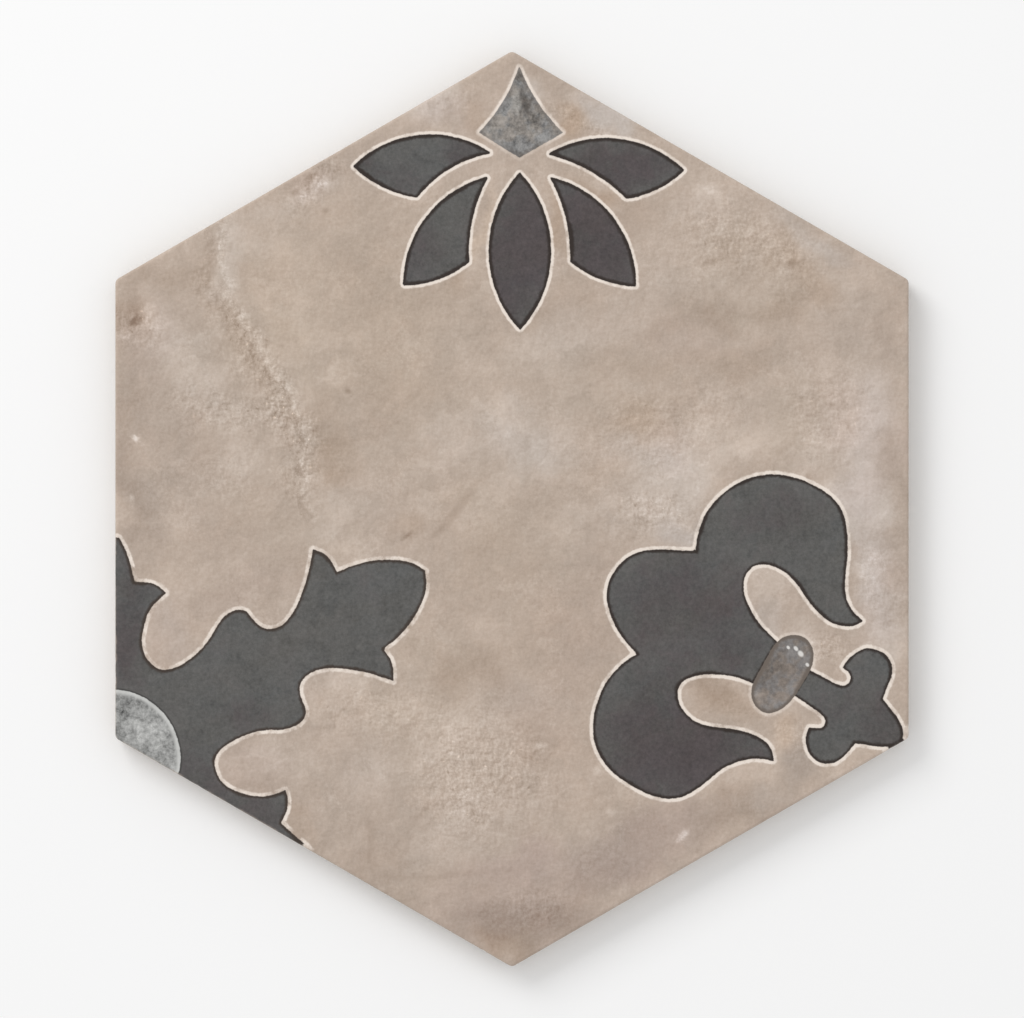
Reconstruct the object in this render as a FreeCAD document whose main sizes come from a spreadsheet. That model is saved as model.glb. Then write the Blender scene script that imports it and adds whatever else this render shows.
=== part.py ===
import FreeCAD, Part
import math
import os
import Sketcher

# Hexagon floor tile in pressed porcelain: one fired piece, one solid.
# Millimetres. The tile lies on its back and +Z points up through the wearing face.
# The origin is the middle of the back, X runs across two flats, Y across two corners.

doc = FreeCAD.newDocument("HexagonTile")

# Driving sizes, each written once
sizes = doc.addObject("Spreadsheet::Sheet", "Sizes")
DRIVING = [
    ("across_flats", 216.0, "width of the tile from flat to flat"),
    ("thickness", 9.0, "height from the back to the wearing face"),
    ("corner_radius", 1.8, "rounding of the six corners, seen from above"),
    ("arris_radius", 0.8, "rounding between the wearing face and the side"),
    ("foot_height", 3.0, "height of the bevel at the foot of the side"),
    ("foot_inset", 0.9, "how far the back's edge stands in from the side"),
    ("rim_width", 7.5, "plain rim of the back outside the outermost recess points"),
    ("key_rings", 5, "rings of keying recesses round the middle one"),
    ("key_rib", 3.2, "rib left standing between two recesses"),
    ("key_depth", 0.8, "depth of a recess"),
    ("key_draft", 30.0, "slope of the recess walls against the press direction"),
]

# Sizes that follow from the driving ones. The pitch makes the rings of recesses fill the back
# exactly, from the middle to the rim.
DERIVED = [
    ("half_width", "=across_flats / 2", "centre of the tile to a flat"),
    ("side_length", "=across_flats / sqrt(3)", "one side of the tile, and its centre to a corner"),
    ("key_field", "=half_width - foot_inset - rim_width", "centre of the back to the rim"),
    ("key_pitch", "=(key_field * sqrt(3) + key_rib) / (1.5 * key_rings + 1)", "recess to recess"),
    ("key_side", "=(key_pitch - key_rib) / sqrt(3)", "one side of a recess at its mouth"),
]
for row, (alias, content, meaning) in enumerate(DRIVING + DERIVED, start=1):
    sizes.set("A%d" % row, meaning)
    sizes.set("B%d" % row, str(content))
    sizes.setAlias("B%d" % row, alias)
doc.recompute()


def size(alias):
    return float(sizes.get(alias))


def base_plane(body):
    for feature in body.Origin.OriginFeatures:
        if feature.Role == "XY_Plane":
            return feature
    raise RuntimeError("the body has no base plane")


def new_sketch(body, name):
    sketch = body.newObject("Sketcher::SketchObject", name)
    sketch.AttachmentSupport = [(base_plane(body), "")]
    sketch.MapMode = "FlatFace"
    return sketch


def draw_hexagon(sketch, first_corner, side, middle):
    """A closed regular hexagon on a construction circle. Returns its sides and the circle."""
    points = []
    for step in range(6):
        turn = math.radians(first_corner + 60 * step)
        points.append(middle + FreeCAD.Vector(math.cos(turn), math.sin(turn), 0) * side)
    sides = []
    for step in range(6):
        line = Part.LineSegment(points[step], points[(step + 1) % 6])
        sides.append(sketch.addGeometry(line, False))
    circle = sketch.addGeometry(Part.Circle(middle, FreeCAD.Vector(0, 0, 1), side), True)
    for step in range(6):
        following = sides[(step + 1) % 6]
        sketch.addConstraint(Sketcher.Constraint("Coincident", sides[step], 2, following, 1))
        sketch.addConstraint(Sketcher.Constraint("PointOnObject", sides[step], 1, circle))
    for step in range(1, 6):
        sketch.addConstraint(Sketcher.Constraint("Equal", sides[0], sides[step]))
    return sides, circle


def drive(sketch, name, constraint, source):
    """Adds a dimension and ties it to the size of that name."""
    index = sketch.addConstraint(constraint)
    sketch.renameConstraint(index, name)
    sketch.setExpression("Constraints." + name, source)


def edges_where(feature, wanted):
    names = []
    for number, edge in enumerate(feature.Shape.Edges, start=1):
        if wanted(edge):
            names.append("Edge%d" % number)
    return names


def at_height(height):
    def wanted(edge):
        return all(abs(vertex.Z - height) < 1e-6 for vertex in edge.Vertexes)
    return wanted


def upright(edge):
    ends = [vertex.Point for vertex in edge.Vertexes]
    return len(ends) == 2 and abs(ends[0].z - ends[1].z) > 1e-6


def must_change(before, feature, sign):
    """A cut or a rounding that points the wrong way changes nothing, so volumes are compared."""
    change = feature.Shape.Volume - before.Shape.Volume
    if change * sign <= 0:
        raise RuntimeError("%s left the volume as it was" % feature.Label)


tile = doc.addObject("PartDesign::Body", "Tile")
tile.Label = "hexagon_tile"
tile.Placement = FreeCAD.Placement(FreeCAD.Vector(0, 0, 0), FreeCAD.Rotation())

# Pressed blank: a regular hexagon, flats to left and right, a corner at the top
outline = new_sketch(tile, "Outline")
sides, circle = draw_hexagon(outline, 90, size("side_length"), FreeCAD.Vector(0, 0, 0))
outline.addConstraint(Sketcher.Constraint("Coincident", circle, 3, -1, 1))
outline.addConstraint(Sketcher.Constraint("PointOnObject", sides[0], 1, -2))
drive(outline, "side", Sketcher.Constraint("Radius", circle, size("side_length")), "Sizes.side_length")

blank = tile.newObject("PartDesign::Pad", "Blank")
blank.Profile = outline
blank.setExpression("Length", "Sizes.thickness")
doc.recompute()

# Six corners, rounded as the press die is
corners = tile.newObject("PartDesign::Fillet", "Corners")
corners.Base = (blank, edges_where(blank, upright))
corners.setExpression("Radius", "Sizes.corner_radius")
doc.recompute()
must_change(blank, corners, -1)

# Foot: the side leans in towards the back, so that tiles never touch below the joint
foot = tile.newObject("PartDesign::Chamfer", "Foot")
foot.ChamferType = "Two distances"
foot.Base = (corners, edges_where(corners, at_height(0)))
foot.setExpression("Size", "Sizes.foot_height")
foot.setExpression("Size2", "Sizes.foot_inset")
doc.recompute()
must_change(corners, foot, -1)

# Arris: the small rounding all round the wearing face
arris = tile.newObject("PartDesign::Fillet", "Arris")
arris.Base = (foot, edges_where(foot, at_height(size("thickness"))))
arris.setExpression("Radius", "Sizes.arris_radius")
doc.recompute()
must_change(foot, arris, -1)

# Keyed back: drafted hexagonal recesses that the bedding mortar grips
def draw_recess(name, distance, bearing):
    """Sketch of one recess mouth, its middle that far from the tile's middle."""
    turn = math.radians(bearing)
    middle = FreeCAD.Vector(math.cos(turn), math.sin(turn), 0) * distance
    sketch = new_sketch(tile, name)
    sides, circle = draw_hexagon(sketch, 0, size("key_side"), middle)
    drive(sketch, "side", Sketcher.Constraint("Radius", circle, size("key_side")), "Sizes.key_side")
    if distance == 0:
        sketch.addConstraint(Sketcher.Constraint("Coincident", circle, 3, -1, 1))
        sketch.addConstraint(Sketcher.Constraint("PointOnObject", sides[0], 1, -1))
        return sketch
    axis = sketch.addGeometry(Part.LineSegment(FreeCAD.Vector(0, 0, 0), middle), True)
    sketch.addConstraint(Sketcher.Constraint("Coincident", axis, 1, -1, 1))
    sketch.addConstraint(Sketcher.Constraint("Coincident", axis, 2, circle, 3))
    sketch.addConstraint(Sketcher.Constraint("Horizontal", circle, 3, sides[0], 1))
    sketch.addConstraint(Sketcher.Constraint("Angle", axis, turn))
    drive(sketch, "pitch", Sketcher.Constraint("Distance", axis, distance), "Sizes.key_pitch")
    return sketch


def press_recess(name, sketch, before):
    recess = tile.newObject("PartDesign::Pocket", name)
    recess.Profile = sketch
    recess.Reversed = True
    recess.setExpression("Length", "Sizes.key_depth")
    recess.setExpression("TaperAngle", "-Sizes.key_draft")
    doc.recompute()
    must_change(before, recess, -1)
    return recess


middle_recess = press_recess("MiddleRecess", draw_recess("MiddleMouth", 0, 0), arris)
seed_mouth = draw_recess("SeedMouth", size("key_pitch"), 210)
seed_recess = press_recess("SeedRecess", seed_mouth, middle_recess)

# The seed is repeated over a rhombus between two lattice directions, and the rhombus is turned
# three times about the middle. Together they are all the rings, with no recess made twice.
key_field = tile.newObject("PartDesign::MultiTransform", "KeyField")
key_field.Originals = [seed_recess]

def spaced_row(name, direction, count):
    row = doc.addObject("PartDesign::LinearPattern", name)
    row.Direction = (seed_mouth, [direction])
    row.Mode = "Spacing"
    row.setExpression("Offset", "Sizes.key_pitch")
    row.setExpression("Occurrences", count)
    return row


up_the_tile = spaced_row("UpTheTile", "V_Axis", "Sizes.key_rings + 1")
out_from_middle = spaced_row("OutFromMiddle", "Axis0", "Sizes.key_rings")

thirds = doc.addObject("PartDesign::PolarPattern", "Thirds")
thirds.Axis = (seed_mouth, ["N_Axis"])
thirds.Angle = 360
thirds.Occurrences = 3

key_field.Transformations = [up_the_tile, out_from_middle, thirds]
tile.Tip = key_field
doc.recompute()
must_change(seed_recess, key_field, -1)

# Checks, then one STEP file for the piece
doc.recompute()
for feature in doc.Objects:
    if "Invalid" in feature.State or "Error" in feature.State:
        raise RuntimeError("%s did not compute: %s" % (feature.Label, feature.State))

shape = tile.Shape
if shape.isNull() or not shape.isValid() or len(shape.Solids) != 1:
    raise RuntimeError("the tile is not one valid solid")

rings = int(size("key_rings"))
recess_floors = 0
for face in shape.Faces:
    level = face.BoundBox.ZMin
    if face.BoundBox.ZLength < 1e-6 and abs(level - size("key_depth")) < 1e-6:
        recess_floors += 1
if recess_floors != 1 + 3 * rings * (rings + 1):
    raise RuntimeError("%d recesses were pressed" % recess_floors)

os.makedirs("parts", exist_ok=True)
shape.exportStep("parts/%s.step" % tile.Label)
print("hexagon_tile: %d recesses, %.1f cm3" % (recess_floors, shape.Volume / 1000))
print("box %s" % shape.BoundBox)
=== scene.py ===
import math

import bmesh
import bpy
import numpy as np
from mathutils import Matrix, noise
from mathutils.geometry import delaunay_2d_cdt


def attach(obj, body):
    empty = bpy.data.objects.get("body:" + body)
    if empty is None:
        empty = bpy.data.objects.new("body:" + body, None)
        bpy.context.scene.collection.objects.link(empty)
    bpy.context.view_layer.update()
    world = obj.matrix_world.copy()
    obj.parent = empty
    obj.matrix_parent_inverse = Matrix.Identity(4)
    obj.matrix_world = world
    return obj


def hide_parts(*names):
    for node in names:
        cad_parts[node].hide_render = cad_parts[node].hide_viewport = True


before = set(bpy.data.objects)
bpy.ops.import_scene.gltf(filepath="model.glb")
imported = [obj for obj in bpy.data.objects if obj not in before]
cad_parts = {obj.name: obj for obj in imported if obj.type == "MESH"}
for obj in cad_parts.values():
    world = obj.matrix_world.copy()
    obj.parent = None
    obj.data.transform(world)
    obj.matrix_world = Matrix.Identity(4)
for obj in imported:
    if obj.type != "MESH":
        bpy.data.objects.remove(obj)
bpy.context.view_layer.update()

# The tile as it lies: +Z up through the printed face, +Y to the corner with the fan of leaves.
# Drawing and sizes are in millimetres, the finished mesh in metres.
MM = 0.001

ACROSS_FLATS = 216.0
THICKNESS = 9.0
CORNER_RADIUS = 1.8
ARRIS_RADIUS = 0.8
FOOT_HEIGHT = 3.0
FOOT_INSET = 0.9
RIM_WIDTH = 7.5
KEY_RINGS = 5
KEY_RIB = 3.2
KEY_DEPTH = 0.8
KEY_DRAFT = 30.0

HALF = ACROSS_FLATS / 2
CORNER = HALF / math.cos(math.radians(30))
KEY_FIELD = HALF - FOOT_INSET - RIM_WIDTH
KEY_PITCH = (KEY_FIELD * math.sqrt(3) + KEY_RIB) / (1.5 * KEY_RINGS + 1)
KEY_SIDE = (KEY_PITCH - KEY_RIB) / math.sqrt(3)


# The printed drawing. Leaves are corners joined by arcs: x, y and the bulge of the side that
# starts there, outwards if positive.
FAN_LEAVES = [
    [(2.1, 91.2, 8.2), (2.2, 49.2, 8.2)],
    [(-7.0, 90.1, 6.2), (-29.3, 61.2, 1.6), (-12.0, 67.4, -1.6)],
    [(10.8, 90.0, -1.6), (16.1, 67.4, 1.4), (33.5, 60.8, 6.4)],
    [(-6.3, 97.0, 6.4), (-42.9, 93.3, 1.4), (-26.0, 85.1, -2.1)],
    [(10.4, 96.7, -1.6), (31.2, 84.8, 1.4), (46.5, 92.3, 6.0)],
]
FAN_STONE = [(2.0, 120.2, -1.2), (-8.8, 102.5, 0.0), (2.1, 95.8, 0.0), (13.7, 102.5, -1.2)]

# Lily and cross are drawn as if their corner of the tile were at the top. Points lie on a smooth
# line, and one with a third entry is a sharp corner.
LILY_TURN = -120
LILY_HEAD = [
    (1.7, 123.2), (3.6, 122.2), (5.1, 120.2), (6.7, 116.9), (7.7, 114.2), (8.5, 112.5, 1), (10.6, 112.3),
    (13.5, 111.6), (15.9, 110.2), (17.4, 107.9), (17.6, 105.7), (16.9, 103.4), (15.4, 101.6),
    (13.5, 100.4), (11.2, 100, 1), (10.6, 101.3), (9.6, 102.9), (8.4, 103.3), (7, 102.8), (6.2, 100.9),
    (5.7, 97.1), (5.3, 91.8, 1), (-2.3, 91.8, 1), (-2.5, 95.7), (-2.7, 100.3), (-3.4, 102.5),
    (-4.7, 103.3), (-6.2, 103.2), (-7.4, 101.9), (-7.8, 99.7, 1), (-10.4, 100), (-13.2, 101),
    (-15.4, 102.9), (-16.3, 105.5), (-16.3, 107.9), (-14.9, 110.5), (-12.3, 112), (-9.1, 112.5),
    (-5.5, 113, 1), (-4.6, 115.4), (-3.3, 118.7), (-1.5, 121.6), (0.2, 122.8),
]
LILY_PETALS = [
    (-4.6, 80.6, 1), (8.1, 80.6, 1), (8.7, 76.7), (9.9, 72.9), (11.9, 69), (14.1, 66), (16.4, 64.1),
    (18.9, 63.4), (21.1, 64), (23.2, 65.7), (24.6, 68.2), (25.4, 71.7), (24.9, 75.1), (23.5, 78.6),
    (21.9, 82.4), (20.8, 86.2), (20.4, 89.4), (20.7, 91.8), (21.8, 94.1), (23.7, 95.7, 1), (24.4, 93.8),
    (26, 90.6), (28.8, 87.5), (32.3, 84.9), (36.8, 83.1), (41.3, 81.2), (44.7, 79), (46.9, 76),
    (48.2, 72.3), (48.7, 67.9), (48.5, 62), (47.5, 57.5), (45.2, 53.2), (41.8, 49.9), (37.4, 47.6),
    (32.9, 46.4), (28.4, 46), (23.8, 46.6), (19.9, 48), (17, 49.6, 1), (15.5, 44.7), (13.5, 40.7),
    (10.9, 37.2), (7, 34), (1.5, 32.8), (-3.9, 33.9), (-7.9, 36.9), (-10.5, 40.7), (-12.8, 45),
    (-15.1, 49.2, 1), (-18.2, 47.9), (-22.1, 46.9), (-26.1, 46.6), (-31.1, 47.4), (-35.8, 49.4),
    (-40.3, 52.7), (-43.5, 56.9), (-45.4, 61.5), (-46.4, 66.7), (-46.4, 71.7), (-45.4, 76), (-43.2, 79.3),
    (-39.3, 82.5), (-34.4, 85.3), (-28.6, 88), (-24.6, 90.6), (-22.3, 93.8), (-21.2, 97.7, 1),
    (-19.2, 96.4), (-17.7, 93.8), (-16.9, 90.6), (-17.4, 86.8), (-18.9, 82.4), (-21.1, 78), (-22.4, 73.6),
    (-22.3, 69.5), (-21.1, 66.3), (-19, 64.4), (-16.2, 63.9), (-13.4, 64.8), (-10.7, 67), (-8.5, 70),
    (-6.6, 73.6), (-5.4, 77.4),
]
LILY_STONE = [
    (-4.1, 91.8), (1.5, 92.1), (7, 91.7), (10.9, 90.3), (13.2, 88), (13.5, 85.4), (12.3, 82.9),
    (9.6, 81.1), (2.2, 80.5), (-5.3, 80.9), (-8.2, 83.2), (-9.3, 86.4), (-7.9, 89.8),
]

CROSS_TURN = 120
CROSS_LEAF_AND_ARMS = [
    (-2.7, 29, 1), (-6.4, 30.8), (-9.7, 34.2), (-12.8, 39.3), (-14.6, 44.7), (-15.4, 49.5, 1),
    (-18.8, 49.3), (-21.3, 49.8), (-24.2, 51.4, 1), (-19.9, 55.2), (-16.1, 59.4), (-13.3, 63.3),
    (-11.7, 66.7), (-11.1, 69.8), (-11.4, 72.1), (-12.5, 74), (-14.4, 75.2), (-16.9, 75.7), (-19.4, 76.2),
    (-20.8, 77.4), (-21.5, 79.5), (-21.3, 81.8), (-20.5, 84.4), (-18.8, 87.4), (-17.5, 90.8),
    (-16.7, 95.1), (-16.6, 98.7), (-17.2, 102.1), (-18.8, 104.4), (-21.1, 105.5), (-23.9, 105.8),
    (-27.4, 104.7), (-30.3, 102.5), (-32.8, 99.8), (-34.4, 96.9), (-35.2, 94.2), (-35.5, 91.8, 1),
    (-37.6, 92.4), (-40, 94), (-42.5, 97.4, 1), (-47.3, 95.8), (-51.5, 94.5), (-56.6, 93.8, 1),
    (-60, 110, 1), (0, 150, 1), (60, 110, 1), (46.6, 96.6, 1), (42.8, 96.9), (38.8, 97.7), (34.1, 99, 1),
    (31.7, 95.5), (29.5, 93.8), (27.4, 93.2, 1), (26.9, 95.5), (26.1, 98.1), (24.3, 101), (21.7, 103.6),
    (18.7, 105.7), (15.2, 106.6), (12.4, 106.2), (10.1, 105), (8.7, 102.7), (8.1, 99.3), (8.4, 95.7),
    (9.4, 91.4), (10.9, 88), (12.6, 85), (13.6, 82.6), (13.8, 80.3), (13.3, 78.2), (11.9, 76.8),
    (9.4, 76.3), (6.9, 75.6), (5.2, 74.4), (4.1, 72.5), (3.8, 70.2), (4.6, 67.1), (6.4, 63.7), (9.4, 60),
    (13.3, 55.9), (17.4, 52.4, 1), (15, 50.6), (12.5, 49.9), (8.8, 50.1, 1), (8.1, 45.1), (6.5, 39.7),
    (3.7, 34.5), (0.7, 31),
]
CROSS_STONE_MIDDLE = (-4.3, 128.5)
CROSS_STONE_RADIUS = 18.7

# A dotted crack in the drawn ground, from the upper left edge down
CRACK = [
    (-82, 96), (-81, 84), (-81, 65), (-76, 52), (-70, 42), (-65, 35), (-60, 28), (-58, 20), (-59, 12),
    (-58, 4), (-56, -2), (-54, -20),
]


def arc_between(start, end, bulge, steps=14):
    """Points from start up to end on an arc whose middle stands that far outside the straight line."""
    start, end = np.array(start), np.array(end)
    if abs(bulge) < 1e-6:
        return [tuple(start)]
    chord = np.linalg.norm(end - start)
    radius = (chord * chord / 4 + bulge * bulge) / (2 * abs(bulge))
    half_angle = math.asin(min(1.0, chord / 2 / radius))
    along = (end - start) / chord
    outwards = np.array((along[1], -along[0])) * math.copysign(1, bulge)
    points = []
    for step in range(steps):
        angle = half_angle * (2 * step / steps - 1)
        rise = radius * math.cos(angle) - (radius - abs(bulge))
        points.append(tuple((start + end) / 2 + along * radius * math.sin(angle) + outwards * rise))
    return points


def arc_outline(corners):
    outline = []
    for number, (x, y, bulge) in enumerate(corners):
        following = corners[(number + 1) % len(corners)]
        outline += arc_between((x, y), following[:2], bulge)
    return outline


def smooth_outline(points, steps=6):
    """Closed centripetal spline through the points. It breaks at those that are corners."""
    places = [np.array(point[:2], float) for point in points]
    sharp = [len(point) > 2 for point in points]
    outline = []
    for number in range(len(points)):
        following = (number + 1) % len(points)
        p1, p2 = places[number], places[following]
        p0 = 2 * p1 - p2 if sharp[number] else places[number - 1]
        p3 = 2 * p2 - p1 if sharp[following] else places[(number + 2) % len(points)]
        knots = [0.0]
        for near, far in ((p0, p1), (p1, p2), (p2, p3)):
            knots.append(knots[-1] + max(1e-6, math.sqrt(np.linalg.norm(far - near))))
        for step in range(steps):
            t = knots[1] + (knots[2] - knots[1]) * step / steps
            line = [p0, p1, p2, p3]
            for level in (1, 2, 3):
                for k in range(4 - level):
                    low, high = knots[k], knots[k + level]
                    if level == 3:
                        low, high = knots[1], knots[2]
                    line[k] = ((high - t) * line[k] + (t - low) * line[k + 1]) / (high - low)
            outline.append(tuple(line[0]))
    return outline


def turned(outline, degrees):
    angle = math.radians(degrees)
    cos, sin = math.cos(angle), math.sin(angle)
    return [(x * cos - y * sin, x * sin + y * cos) for x, y in outline]


def circle_outline(middle, radius, steps=120):
    angles = [2 * math.pi * step / steps for step in range(steps)]
    return [(middle[0] + radius * math.cos(a), middle[1] + radius * math.sin(a)) for a in angles]


INKED = [arc_outline(leaf) for leaf in FAN_LEAVES]
INKED += [turned(smooth_outline(part), LILY_TURN) for part in (LILY_HEAD, LILY_PETALS)]
INKED += [turned(smooth_outline(CROSS_LEAF_AND_ARMS), CROSS_TURN)]
STONES = [
    arc_outline(FAN_STONE),
    turned(smooth_outline(LILY_STONE), LILY_TURN),
    turned(circle_outline(CROSS_STONE_MIDDLE, CROSS_STONE_RADIUS), CROSS_TURN),
]
REACH = 6.0


def segment_distances(points, starts, ends):
    """For each point and segment: the way from the segment's start, the segment, and the distance."""
    sides = ends - starts
    away = points[:, None, :] - starts[None]
    share = (away * sides).sum(2) / np.maximum((sides * sides).sum(1), 1e-12)
    gap = away - np.clip(share, 0, 1)[..., None] * sides
    return away, sides, np.sqrt((gap * gap).sum(2))


def depth_in(points, outlines):
    """How deep each point lies inside the outlines: negative outside, and no further than REACH."""
    deepest = np.full(len(points), -REACH)
    for outline in outlines:
        starts = np.array(outline)
        ends = np.roll(starts, -1, axis=0)
        low, high = starts.min(0) - REACH, starts.max(0) + REACH
        near = np.flatnonzero(((points > low) & (points < high)).all(1))
        for part in np.array_split(near, len(near) // 2000 + 1):
            x, y = points[part, 0][:, None], points[part, 1][:, None]
            distance = segment_distances(points[part], starts, ends)[2].min(1)
            crosses = (starts[:, 1] > y) != (ends[:, 1] > y)
            rise = ends[:, 1] - starts[:, 1]
            level = starts[:, 0] + (y - starts[:, 1]) * (ends - starts)[:, 0] / np.where(rise == 0, 1, rise)
            inside = (crosses & (x < level)).sum(1) % 2 == 1
            depth = np.where(inside, distance, -distance)
            deepest[part] = np.maximum(deepest[part], np.clip(depth, -REACH, REACH))
    return deepest


def beside_crack(points, reach=12.0):
    """Distance from the crack, positive to its right looking down it (towards the tile's left edge)."""
    line = np.array(CRACK, float)
    away, sides, distances = segment_distances(points, line[:-1], line[1:])
    nearest = distances.argmin(1)
    rows = np.arange(len(points))
    turn = sides[nearest, 0] * away[rows, nearest, 1] - sides[nearest, 1] * away[rows, nearest, 0]
    return np.clip(-np.sign(turn) * distances[rows, nearest], -reach, reach)


def rounded_hexagon(half_width, radius, spacing=1.0, steps=6):
    """Flats to left and right, a corner at the top, counter-clockwise."""
    middle_distance = (half_width - radius) / math.cos(math.radians(30))
    points = []
    for corner in range(6):
        bearing = math.radians(60 * corner + 30)
        middle = np.array((math.cos(bearing), math.sin(bearing))) * middle_distance
        for step in range(steps + 1):
            angle = math.radians(60 * corner + 60 * step / steps)
            points.append(middle + radius * np.array((math.cos(angle), math.sin(angle))))
    full = []
    for number, point in enumerate(points):
        following = points[(number + 1) % len(points)]
        pieces = max(1, round(np.linalg.norm(following - point) / spacing))
        full += [tuple(point + (following - point) * k / pieces) for k in range(pieces)]
    return full


def within_flats(points, inset):
    """True where a point is further than that inside all six flats."""
    reach = np.full(len(points), -1e9)
    for bearing in (0, 60, 120):
        angle = math.radians(bearing)
        along = points @ np.array((math.cos(angle), math.sin(angle)))
        reach = np.maximum(reach, np.abs(along))
    return reach < HALF - inset


# Points of the face: their spacing, how far beside an outline every one or every second one stays,
# and how far they keep off it
GRID_SPACING = 0.6
DENSE_REACH = 1.9
MIDDLING_REACH = 4.2
CLEAR_OF_OUTLINE = 0.22


def face_points():
    """Points of the printed face, dense along the drawn outlines so that these stay crisp."""
    lines = np.arange(-210, 211)
    columns, rows = [axis.ravel() for axis in np.meshgrid(lines, lines)]
    grid = np.stack([columns * GRID_SPACING, rows * GRID_SPACING], 1)
    kept = within_flats(grid, ARRIS_RADIUS + 0.45) & (np.abs(grid[:, 1]) < CORNER - 3.4)
    grid, columns, rows = grid[kept], columns[kept], rows[kept]
    nearest = np.full(len(grid), REACH)
    for outline in INKED + STONES:
        nearest = np.minimum(nearest, np.abs(depth_in(grid, [outline])))
    marked = np.abs(drawn_by_hand(grid, *HAND_LAYERS[("marks",)])[:, 0]) > 0.5
    coarse = (columns % 3 == 0) & (rows % 3 == 0)
    middling = (columns % 2 == 0) & (rows % 2 == 0) & (nearest < MIDDLING_REACH)
    dense = nearest < DENSE_REACH
    return grid[(coarse | middling | dense | marked) & (nearest > CLEAR_OF_OUTLINE)]


def printed_face():
    """The flat printed face as a mesh, with the drawing's distances stored on its points."""
    inset = ARRIS_RADIUS
    border = rounded_hexagon(HALF - inset, CORNER_RADIUS - inset)
    points = list(border)
    edges = [(k, (k + 1) % len(border)) for k in range(len(border))]
    for outline in INKED + STONES:
        inside = within_flats(np.array(outline), inset + 0.15)
        first = len(points)
        index = {}
        for number, point in enumerate(outline):
            if inside[number] and abs(point[1]) < CORNER - 3.1:
                index[number] = first + len(index)
                points.append(point)
        for number in index:
            following = (number + 1) % len(outline)
            if following in index:
                edges.append((index[number], index[following]))
    points += [tuple(point) for point in face_points()]
    places, _, faces = delaunay_2d_cdt(points, edges, [], 1, 1e-4)[:3]

    mesh = bpy.data.meshes.new("printed_face")
    points = [(x * MM, y * MM, THICKNESS * MM) for x, y in places]
    mesh.from_pydata(points, [], [list(corners) for corners in faces])
    flat = np.array([(x, y) for x, y in places])
    stored = {"ink": depth_in(flat, INKED), "stone": depth_in(flat, STONES), "crack": beside_crack(flat)}
    for names, layer in HAND_LAYERS.items():
        stored.update(zip(names, drawn_by_hand(flat, *layer).T))
    for name, values in stored.items():
        mesh.attributes.new(name, "FLOAT", "POINT").data.foreach_set("value", values.astype(np.float32))
    return mesh


# Node trees, for shapes and finishes alike
class Value:
    """The output of a node. Sums and products of values and numbers add the nodes that work them out."""

    def __init__(self, sheet, socket):
        self.sheet, self.socket = sheet, socket

    def out(self, name):
        return Value(self.sheet, self.socket.node.outputs[name])

    def work(self, operation, *values):
        vectors = [v for v in values if isinstance(v, tuple)]
        vectors += [v for v in values if isinstance(v, Value) and v.socket.type in {"VECTOR", "RGBA"}]
        kind = "ShaderNodeVectorMath" if vectors else "ShaderNodeMath"
        if vectors:
            values = [v if isinstance(v, (Value, tuple)) else (v, v, v) for v in values]
        return self.sheet.node(kind, {"operation": operation}, dict(enumerate(values)))

    def __add__(self, other):
        return self.work("ADD", self, other)

    def __radd__(self, other):
        return self.work("ADD", other, self)

    def __sub__(self, other):
        return self.work("SUBTRACT", self, other)

    def __rsub__(self, other):
        return self.work("SUBTRACT", other, self)

    def __mul__(self, other):
        return self.work("MULTIPLY", self, other)

    def __rmul__(self, other):
        return self.work("MULTIPLY", other, self)

    def __truediv__(self, other):
        return self.work("DIVIDE", self, other)

    def __neg__(self):
        return self.work("MULTIPLY", self, -1.0)

    def __abs__(self):
        return self.work("ABSOLUTE", self)

    def __gt__(self, other):
        return self.work("GREATER_THAN", self, other)

    def __lt__(self, other):
        return self.work("LESS_THAN", self, other)


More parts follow.
